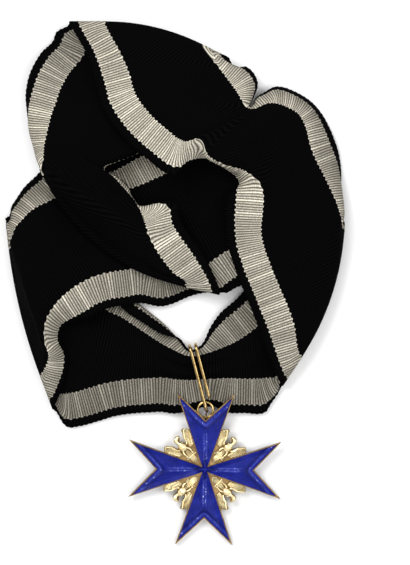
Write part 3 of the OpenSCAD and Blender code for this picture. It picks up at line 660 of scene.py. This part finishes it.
def add_feather(parts, path, width, height):
    """A feather along a path, with its quill on top."""
    path = resample(path, 9)
    n = len(path)
    half_w = taper(n, width * 0.5, width, width * 0.5)
    half_h = taper(n, height, height, height * 0.7)
    parts.add(*sweep(path, half_w, half_h, 8))
    parts.add(*sweep(path[1:-1] + np.array([0, 0, height * 0.92]), QUILL_W, QUILL_H, 6))


def add_wing(parts, z):
    """Long feathers, a short covert over each root and the shoulder above them."""
    root_a, root_b = (np.array([*r, z + ROOT_UP]) for r in FEATHER_ROOTS)
    for k, (tip, width) in enumerate(FEATHERS):
        root = root_a + (root_b - root_a) * k / (len(FEATHERS) - 1)
        tip = np.array([*tip, z + TIP_UP])
        middle = (root + tip) / 2 + FEATHER_BEND
        add_feather(parts, [root, middle, tip], width, FEATHER_H)
        short = (root + tip) / 2 + COVERT_END
        covert = [root + COVERT_START, (root + short) / 2 + COVERT_RISE, short]
        add_feather(parts, covert, width * COVERT_SHARE, COVERT_H)
    shoulder = resample([np.array([x, y, z + SHOULDER_UP]) for x, y in SHOULDER], 18)
    half = spread(SHOULDER_W, len(shoulder))
    parts.add(*sweep(shoulder, half, half * 0.9, 10))


def add_body(parts, z):
    """The body with its rows of scales."""
    path = resample([diagonal(p, 0, z + BODY_UP) for p in BODY_AT], 12)
    parts.add(*sweep(path, spread(BODY_W, len(path)), spread(BODY_H, len(path)), 16))
    for row, p in enumerate(SCALE_ROWS):
        lengthwise = math.sqrt(max(0.1, 1 - ((p - BODY_MIDDLE) / BODY_HALF[0]) ** 2))
        for q in np.arange(-SCALE_SIDE, SCALE_SIDE + 0.1, SCALE_STEP) + (SCALE_STEP / 2 if row % 2 else 0):
            high = BODY_UP + 0.9 * math.sqrt(max(0.03, 1 - (q / BODY_HALF[1]) ** 2)) * lengthwise
            scale = [diagonal(p + SCALE_FRONT, q, z + high), diagonal(p, q, z + high + SCALE_UP),
                     diagonal(p - SCALE_BACK, q, z + high)]
            parts.add(*sweep(resample(scale, 4), SCALE_W, SCALE_H, 8))


def add_head(parts, z):
    """Neck and head in one sweep down to the beak, with three feathers at the back of the head."""
    neck = resample([diagonal(p, q, z + NECK_UP) for p, q in NECK], 18)
    half = spread(NECK_W, len(neck))
    parts.add(*sweep(neck, half, half * 0.8, 12))
    for p, q in CREST_TIPS:
        add_feather(parts, [diagonal(*CREST_ROOT, z + 0.5), diagonal(p, q, z + 0.3)], CREST_W, CREST_H)


def add_legs(parts, z):
    """Both legs with their claws, and the bolt that they hold."""
    for side in (-1, 1):
        leg = resample([diagonal(p, side * q, z + LEG_UP) for p, q in LEG], 6)
        parts.add(*sweep(leg, np.linspace(*LEG_W, len(leg)), np.linspace(*LEG_H, len(leg)), 10))
        foot = diagonal(LEG[-1][0], side * LEG[-1][1], z + 0.3)
        for p, q in CLAWS:
            knuckle = (foot + diagonal(p, side * q, z + 0.5)) / 2 + np.array([0, 0, 0.12])
            claw = resample([foot, knuckle, diagonal(p, side * q, z + 0.1)], 5)
            half = np.linspace(*CLAW_W, len(claw))
            parts.add(*sweep(claw, half, half, 8))
    bolt = resample([diagonal(p, q, z + up) for p, q, up in BOLT], 12)
    parts.add(*sweep(bolt, BOLT_R, BOLT_R, 8))


def add_tail(parts, z):
    for p, q in TAIL_TIPS:
        path = [diagonal(TAIL_ROOT, q * 0.3, z + 0.12), diagonal((p + TAIL_MIDDLE) / 2, q * 0.8, z + 0.16),
                diagonal(p, q, z + 0.05)]
        add_feather(parts, path, TAIL_W, TAIL_H)


def add_eagle(parts, z):
    """One face of an eagle, standing on height z, its beak towards the +Y arm."""
    wing = Parts()
    add_wing(wing, z)
    points = np.concatenate(wing.points)
    parts.add(points, wing.faces)
    parts.add(points[:, [1, 0, 2]], [f[::-1] for f in wing.faces])
    for add in (add_body, add_head, add_legs, add_tail):
        add(parts, z)


def make_eagles(material):
    """Four eagles with two faces each, every second one mirrored, so all beaks point to the upright arms."""
    front = Parts()
    add_eagle(front, EAGLE_T / 2)
    for number in range(4):
        points, faces = np.concatenate(front.points), front.faces
        if number % 2:
            points, faces = points[:, [1, 0, 2]], [f[::-1] for f in faces]
        parts = Parts()
        parts.add(points, faces)
        parts.add(points * np.array([1, 1, -1]), [f[::-1] for f in faces])
        quarter = number * math.pi / 2
        obj = parts.build(f"eagle_{number + 1}", material, place=lambda p: on_cross(turned(p, quarter, "Z")))
        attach(obj, "root")


# The ring and the wire loop

RING_STEPS = 96
RING_SIDES = 24
WIRE_SIDES = 20
WIRE_END_SHARE = 0.75
BEND_STEPS = 24
BACK_STEPS = 16
FRONT_STEPS = 12


def make_ring(material):
    turn = np.linspace(0, 2 * math.pi, RING_STEPS + 1)[:-1]
    around = np.linspace(0, 2 * math.pi, RING_SIDES + 1)[:-1]
    radius = RING_R + RING_WIRE / 2 * np.cos(around)[None]
    x = radius * np.cos(turn)[:, None]
    y = radius * np.sin(turn)[:, None]
    z = np.repeat(RING_WIRE / 2 * np.sin(around)[None], len(turn), axis=0)
    points = np.stack([x, y, z], axis=-1).reshape(-1, 3)
    n, m = len(turn), len(around)
    faces = []
    for i in range(n):
        for k in range(m):
            p, q = i * m + k, i * m + (k + 1) % m
            r, s = (i + 1) % n * m + (k + 1) % m, (i + 1) % n * m + k
            faces.append((p, s, r, q))
    parts = Parts()
    parts.add(turned(points, RING_TILT, "X") + RING_AT + SHIFT, faces)
    obj = parts.build("suspension_ring", material)
    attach(obj, "root")
    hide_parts("ring")


def loop_path():
    """The wire's route, and its sideways direction.

    It goes from its free end at the front up and over the ribbon, down the back, through the ring, up the
    front beside its start, over the ribbon again and a little way down the back.
    """
    way = (LOOP_END - LOOP_TOP) / np.linalg.norm(LOOP_END - LOOP_TOP)
    run = np.linalg.norm(LOOP_END - LOOP_TOP) - 2 * LOOP_BEND
    half_h = (LOOP_FRONT_Z - LOOP_BACK_Z) / 2

    def oval(s, off):
        """A point of a turn: s goes to 1 down the back, to 2 round the ring, to 3 up the front, to 4 over."""
        turn = math.pi * (s % 1)
        if s <= 1:
            u, z = LOOP_BEND + run * s, LOOP_BACK_Z
        elif s < 2:
            u, z = LOOP_BEND + run + LOOP_BEND * math.sin(turn), LOOP_BACK_Z + half_h * (1 - math.cos(turn))
        elif s <= 3:
            u, z = LOOP_BEND + run * (3 - s), LOOP_FRONT_Z
        else:
            u, z = LOOP_BEND * (1 - math.sin(turn)), LOOP_FRONT_Z - half_h * (1 - math.cos(turn))
        return [*(LOOP_TOP + way * u + np.array([-way[1], way[0]]) * off), z]

    right = LOOP_PITCH / 2
    over = [3 + k / BEND_STEPS for k in range(1, BEND_STEPS)]
    path = [oval(s, right) for s in np.linspace(2.1, 3, FRONT_STEPS)]
    path += [oval(s, right) for s in over] + [oval(0, right)]
    path += [oval(k / BACK_STEPS, right - LOOP_PITCH * k / BACK_STEPS) for k in range(1, BACK_STEPS + 1)]
    path += [oval(1 + k / BEND_STEPS, -right) for k in range(1, BEND_STEPS)]
    path += [oval(s, -right) for s in np.linspace(2, 3, FRONT_STEPS)]
    path += [oval(s, -right) for s in over]
    path += [oval(s, -right) for s in np.linspace(0, 0.375, 6)]
    return np.array(path), np.array([-way[1], way[0], 0])


def make_wire_loop(material):
    path, across = loop_path()
    half = np.full(len(path), LOOP_WIRE / 2)
    half[[0, -1]] *= WIRE_END_SHARE
    parts = Parts()
    parts.add(*sweep(path + SHIFT, half, half, WIRE_SIDES, across))
    obj = parts.build("wire_loop_turns", material)
    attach(obj, "root")
    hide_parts("wire_loop")


# The stitches of the join, a row across the overlap at the ribbon's start

STITCHES = 22
STITCH_AT = (5.0, 8.0)
STITCH_R = 0.16
STITCH_STEPS = 7


def make_stitches(material, grid, normal, along):
    """A row of short stitches, spread evenly over the ribbon's width."""
    parts = Parts()
    at = np.linspace(*STITCH_AT, STITCH_STEPS)
    # a stitch rises out of the cloth and dips into it at both ends
    rise = RIBBON_T / 2 + STITCH_R * (2.2 * np.sin(np.linspace(0, math.pi, STITCH_STEPS)) - 0.8)

    def path_at(j):
        """A stitch's line on one column of the ribbon."""
        line, up = (read_at(at, along[:, j], f[:, j]) for f in (grid, normal))
        return line + up * rise[:, None]

    for k in range(STITCHES):
        share = (k + 1) / (STITCHES + 1) * (grid.shape[1] - 1)
        j = int(share)
        here, there = path_at(j), path_at(j + 1)
        parts.add(*sweep(here + (there - here) * (share - j), STITCH_R, STITCH_R, 8, across=there - here))
    obj = parts.build("join_stitches", material)
    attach(obj, "root")
    return obj


# Materials


class Shader:
    """A node material, with short ways to add its nodes."""

    def __init__(self, name):
        self.material = bpy.data.materials.new(name)
        self.material.use_nodes = True
        self.tree = self.material.node_tree
        self.surface = self.tree.nodes["Principled BSDF"]

    def feed(self, socket, value):
        """Link another node's output to a socket, or set the socket's own value."""
        if isinstance(value, bpy.types.NodeSocket):
            self.tree.links.new(value, socket)
        else:
            socket.default_value = value

    def node(self, kind, inputs=None, **settings):
        n = self.tree.nodes.new(kind)
        for key, value in settings.items():
            setattr(n, key, value)
        for key, value in (inputs or {}).items():
            self.feed(n.inputs[key], value)
        return n

    def math(self, what, a, b=0.0, clamp=False):
        return self.node("ShaderNodeMath", {0: a, 1: b}, operation=what, use_clamp=clamp).outputs[0]

    def fit(self, value, gain, base, clamp=False):
        """A value times gain plus base."""
        inputs = {0: value, 1: gain, 2: base}
        return self.node("ShaderNodeMath", inputs, operation="MULTIPLY_ADD", use_clamp=clamp).outputs[0]

    def mix(self, share, a, b):
        """Colour a at share 0, colour b at share 1."""
        n = self.node("ShaderNodeMix", data_type="RGBA")
        for key, value in ((0, share), (6, a), (7, b)):
            self.feed(n.inputs[key], value)
        return n.outputs[2]

    def noise(self, at, scale, detail=2.0, roughness=0.5):
        inputs = {"Vector": at, "Scale": scale, "Detail": detail, "Roughness": roughness}
        return self.node("ShaderNodeTexNoise", inputs).outputs["Fac"]

    def random(self, number):
        """A random value for each whole number."""
        return self.node("ShaderNodeTexWhiteNoise", {"W": number}, noise_dimensions="1D").outputs["Value"]

    def part(self, vector, axis):
        """One of a vector's three numbers."""
        return self.node("ShaderNodeSeparateXYZ", {0: vector}).outputs[axis]

    def bump(self, height, distance, strength=1.0):
        n = self.node("ShaderNodeBump", {"Height": height, "Distance": distance, "Strength": strength})
        self.tree.links.new(n.outputs[0], self.surface.inputs["Normal"])

    def set(self, **inputs):
        for key, value in inputs.items():
            self.feed(self.surface.inputs[key.replace("_", " ")], value)

    def place(self, scale):
        """The object's own coordinates, in millimetres times scale."""
        where = self.node("ShaderNodeTexCoord").outputs["Object"]
        return self.node("ShaderNodeVectorMath", {0: where, 3: 1000.0 * scale}, operation="SCALE").outputs[0]


def colour(r, g, b):
    return (r, g, b, 1.0)


# How far a stripe's borders step out on the ribs, and how sharp they are
DOUBLE_STEP = 0.22
RAGGED_STEP = 0.16
BORDER_SHARPNESS = 12.0
RIM_SHARPNESS = 2.2
DOTS_PER_MM = 1.9
SECOND_DRAW = 0.37


def ribbon_material():
    """Corded silk: black, with a silver stripe near each edge."""
    s = Shader("corded_silk")
    place = s.node("ShaderNodeUVMap", uv_map="Place").outputs[0]
    along = s.math("MULTIPLY", s.part(place, 0), UV_MM)
    across = s.math("MULTIPLY", s.part(place, 1), UV_MM)
    rib = s.math("DIVIDE", along, RIB)
    crest = s.fit(s.math("COSINE", s.math("MULTIPLY", rib, 2 * math.pi)), gain=0.5, base=0.5)
    rib_number = s.math("FLOOR", s.math("ADD", rib, 0.5))
    from_edge = s.math("MINIMUM", across, s.math("SUBTRACT", RIBBON_W, across))
    # the borders of a stripe step out on every second rib, and a little at random
    ragged = s.fit(s.random(rib_number), gain=RAGGED_STEP, base=-RAGGED_STEP / 2)
    double = s.math("COSINE", s.math("MULTIPLY", rib, math.pi))
    step = s.fit(double, gain=DOUBLE_STEP, base=ragged)
    inner = s.math("SUBTRACT", s.math("ADD", step, EDGE_W + STRIPE_W), from_edge)
    outer = s.math("ADD", s.math("SUBTRACT", from_edge, EDGE_W), step)
    silver = s.math("MULTIPLY", s.math("MULTIPLY", inner, BORDER_SHARPNESS, clamp=True),
                    s.math("MULTIPLY", outer, BORDER_SHARPNESS, clamp=True))
    # a few ribs are bright all across the stripe, the rest are dotted
    bright = s.math("POWER", s.random(s.math("ADD", rib_number, SECOND_DRAW)), 3.5)
    dots_at = s.node("ShaderNodeCombineXYZ", {0: s.math("MULTIPLY", along, DOTS_PER_MM),
                                              1: s.math("MULTIPLY", across, DOTS_PER_MM)}).outputs[0]
    dots = s.noise(dots_at, scale=1.0, roughness=0.7)
    broad = s.noise(place, scale=9.0)
    light = s.fit(bright, gain=0.34, base=0.36)
    # the silver is lighter on the rib crests and darker in the grooves between them: partly the weave's own
    # dark gaps, partly painted shade in the grooves
    light = s.math("MULTIPLY", light, s.fit(crest, gain=1.35, base=0.1))
    light = s.math("MULTIPLY", light, s.fit(dots, gain=2.6, base=-0.25))
    light = s.math("MULTIPLY", light, s.fit(broad, gain=0.8, base=0.6))
    # the stripe is lighter along its borders
    middle = s.math("MULTIPLY", s.math("MINIMUM", inner, outer), RIM_SHARPNESS, clamp=True)
    rim = s.math("SUBTRACT", 1.0, middle, clamp=True)
    light = s.fit(rim, gain=0.25, base=light, clamp=True)
    white = s.mix(light, colour(0.05, 0.044, 0.032), colour(0.90, 0.84, 0.70))
    # painted shade: the silver of the low layers is drawn darker than on the top ones, the more the lower it
    # lies
    free_of_shade_and_patina = s.fit(s.part(s.place(1.0), 2), gain=SHADED_TONE_RISE, base=SHADED_TONE_LOW, clamp=True)
    white = s.mix(free_of_shade_and_patina, colour(0.01, 0.009, 0.007), white)
    # painted sheen: the black is a little lighter on the rib crests
    black = s.mix(crest, colour(0.0006, 0.0006, 0.0007), colour(0.0022, 0.0022, 0.0025))
    s.set(Base_Color=s.mix(silver, black, white), Roughness=0.8, Specular_IOR_Level=0.01)
    s.bump(s.math("ADD", crest, s.math("MULTIPLY", dots, 0.5)), distance=0.0001, strength=0.7)
    return s.material


def enamel_material():
    """Blue enamel, with the painted highlight streaks and the painted shade that the values stored with its
    relief give.
    """
    s = Shader("blue_enamel")
    at = s.place(1.0)
    light_and_shade = s.node("ShaderNodeUVMap", uv_map="Place").outputs[0]
    highlight_lines, painted_shade = s.part(light_and_shade, 0), s.part(light_and_shade, 1)
    uneven = s.fit(s.noise(at, scale=0.8, detail=3.0, roughness=0.6), gain=2.6, base=-0.7, clamp=True)
    flow = s.fit(s.noise(at, scale=0.3, detail=3.0), gain=2.0, base=-0.5, clamp=True)
    tint = s.mix(flow, colour(0.001, 0.004, 0.12), colour(0.006, 0.014, 0.24))
    # painted shade: a darker blue where the relief values ask for it
    tint = s.mix(s.math("MULTIPLY", painted_shade, 0.7), tint, colour(0.0, 0.002, 0.07))
    # painted highlight streaks in a lighter blue
    tint = s.mix(s.math("MULTIPLY", highlight_lines, uneven), tint, colour(0.05, 0.07, 0.42))
    # painted glints: small white highlights, only on the painted highlight streaks
    glint = s.fit(s.noise(at, scale=1.5, roughness=0.6), gain=16.0, base=-9.9, clamp=True)
    tint = s.mix(s.math("MULTIPLY", glint, highlight_lines), tint, colour(0.62, 0.68, 0.85))
    s.set(Base_Color=tint, Roughness=0.1, IOR=1.45, Specular_IOR_Level=0.16)
    specks = s.math("POWER", s.noise(at, scale=2.2, detail=3.0, roughness=0.6), 3.0)
    s.bump(s.math("ADD", s.noise(at, scale=0.5), s.math("MULTIPLY", specks, 1.2)), distance=0.0002)
    return s.material


def gold_material(name, dull, bright, rough, grain, patina_and_shade_reach=0.0):
    """Worn gold between two colours, with a dark brown that reaches the given number of mm into its recesses
    and covers its steep sides: patina and painted shade in the recesses, painted shade on the steep sides.
    """
    s = Shader(name)
    at = s.place(1.0)
    wear = s.noise(at, scale=0.45, detail=4.0, roughness=0.65)
    fine = s.noise(at, scale=5.0, detail=3.0, roughness=0.6)
    tone = s.mix(s.fit(wear, gain=2.4, base=-0.7, clamp=True), dull, bright)
    if patina_and_shade_reach:
        # dark brown in the recesses of the relief, where it is patina and painted shade, and on its steep
        # sides, where it is painted shade
        open_air = s.node("ShaderNodeAmbientOcclusion", {"Distance": patina_and_shade_reach * MM}, samples=8).outputs["AO"]
        level = s.math("ABSOLUTE", s.part(s.node("ShaderNodeNewGeometry").outputs["Normal"], 2))
        free_of_shade_and_patina = s.math("MULTIPLY", s.fit(open_air, gain=2.2, base=-0.7, clamp=True),
                       s.fit(level, gain=2.4, base=-0.75, clamp=True))
        # the dark brown of the patina and the painted shade
        tone = s.mix(free_of_shade_and_patina, colour(0.11, 0.055, 0.015), tone)
    s.set(Base_Color=tone, Metallic=1.0, Roughness=s.fit(fine, gain=0.2, base=rough - 0.1))
    s.bump(s.math("ADD", fine, s.math("MULTIPLY", wear, 0.6)), distance=0.00003, strength=grain)
    return s.material


def thread_material():
    s = Shader("black_thread")
    twist = s.noise(s.place(1.0), scale=4.0)
    s.set(Base_Color=s.mix(twist, colour(0.004, 0.004, 0.004), colour(0.02, 0.02, 0.02)), Roughness=0.7,
          Specular_IOR_Level=0.2)
    s.bump(twist, distance=0.00005, strength=0.6)
    return s.material


def floor_material():
    s = Shader("white_table")
    mottle = s.noise(s.place(0.02), scale=1.0)
    s.set(Base_Color=s.mix(mottle, colour(0.86, 0.86, 0.86), colour(0.88, 0.88, 0.88)), Roughness=0.9,
          Specular_IOR_Level=0.1)
    return s.material


# Table, light and view

FLOOR_CELLS = 40
SENSOR_MM = 36.0
WORLD_STRENGTH = 0.62
# These and the lights' places and sizes are in metres
FLOOR_HALF = 3.0
FLOOR_DOWN = 0.00005
LIGHT_AIM = (0.01, -0.005, 0.0)
CAMERA_CLIP = (0.01, 20.0)


def make_floor():
    work = bmesh.new()
    bmesh.ops.create_grid(work, x_segments=FLOOR_CELLS, y_segments=FLOOR_CELLS, size=FLOOR_HALF)
    for v in work.verts:
        v.co.z = -FLOOR_DOWN
    mesh = bpy.data.meshes.new("table_top")
    work.to_mesh(mesh)
    work.free()
    mesh.materials.append(floor_material())
    floor = bpy.data.objects.new("table_top", mesh)
    bpy.context.scene.collection.objects.link(floor)


def area_light(name, at, size, power):
    data = bpy.data.lights.new(name, "AREA")
    data.shape = "RECTANGLE"
    data.size, data.size_y = size
    data.energy = power
    lamp = bpy.data.objects.new(name, data)
    lamp.location = at
    lamp.rotation_euler = (Vector(LIGHT_AIM) - Vector(at)).to_track_quat("-Z", "Y").to_euler()
    bpy.context.scene.collection.objects.link(lamp)


def make_light():
    world = bpy.data.worlds.new("studio")
    world.use_nodes = True
    back = world.node_tree.nodes["Background"]
    back.inputs["Color"].default_value = colour(1.0, 1.0, 1.0)
    back.inputs["Strength"].default_value = WORLD_STRENGTH
    bpy.context.scene.world = world
    area_light("key", (-0.75, 0.75, 1.15), (0.9, 0.9), 17.0)
    area_light("fill", (0.95, 0.15, 1.0), (0.7, 1.1), 7.0)
    area_light("top", (0.05, -0.55, 1.35), (1.2, 0.35), 5.0)


def make_camera():
    data = bpy.data.cameras.new("camera")
    data.sensor_width = SENSOR_MM
    data.lens = SENSOR_MM * CAMERA_AWAY / (PHOTO_PX[1] * MM_PER_PX)
    data.clip_start, data.clip_end = CAMERA_CLIP
    camera = bpy.data.objects.new("camera", data)
    camera.location = (VIEW_MIDDLE[0] * MM, VIEW_MIDDLE[1] * MM, (CAMERA_AWAY + VIEW_PLANE_Z) * MM)
    bpy.context.scene.collection.objects.link(camera)
    bpy.context.scene.camera = camera


make_camera()
make_light()
make_floor()
bpy.context.scene.view_settings.view_transform = "Standard"

# the plate is a dark brown gold: its rims and tips have this colour, and where it shows between the feathers
# its darkness stands for painted shade
gold_plate = gold_material("gold_plate", colour(0.09, 0.055, 0.025), colour(0.36, 0.24, 0.10), 0.36, 0.5,
                           patina_and_shade_reach=1.2)
gold_relief = gold_material("gold_relief", colour(0.96, 0.71, 0.33), colour(1.0, 0.93, 0.60), 0.3, 0.5,
                            patina_and_shade_reach=0.5)
gold_wire = gold_material("gold_wire", colour(0.22, 0.14, 0.05), colour(0.62, 0.45, 0.19), 0.2, 0.3)
enamel = enamel_material()

grid, along, across = ribbon_surface()
normal = unit(np.cross(unit(np.gradient(grid, axis=0)), unit(np.gradient(grid, axis=1))))
silk = ribbon_material()
cloth = make_ribbon(silk, grid, normal, along, across)
edges = make_edges(silk, grid)
for piece in (cloth, edges):
    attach(piece, "root")
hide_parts("ribbon")
make_enamel("enamel_front_arms", "enamel_front", enamel, back=False)
make_enamel("enamel_back_arms", "enamel_back", enamel, back=True)
make_eagles(gold_relief)
make_ring(gold_wire)
make_wire_loop(gold_wire)
stitches = make_stitches(thread_material(), grid, normal, along)
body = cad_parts["cross_body"]
body.data.materials.clear()
body.data.materials.append(gold_plate)
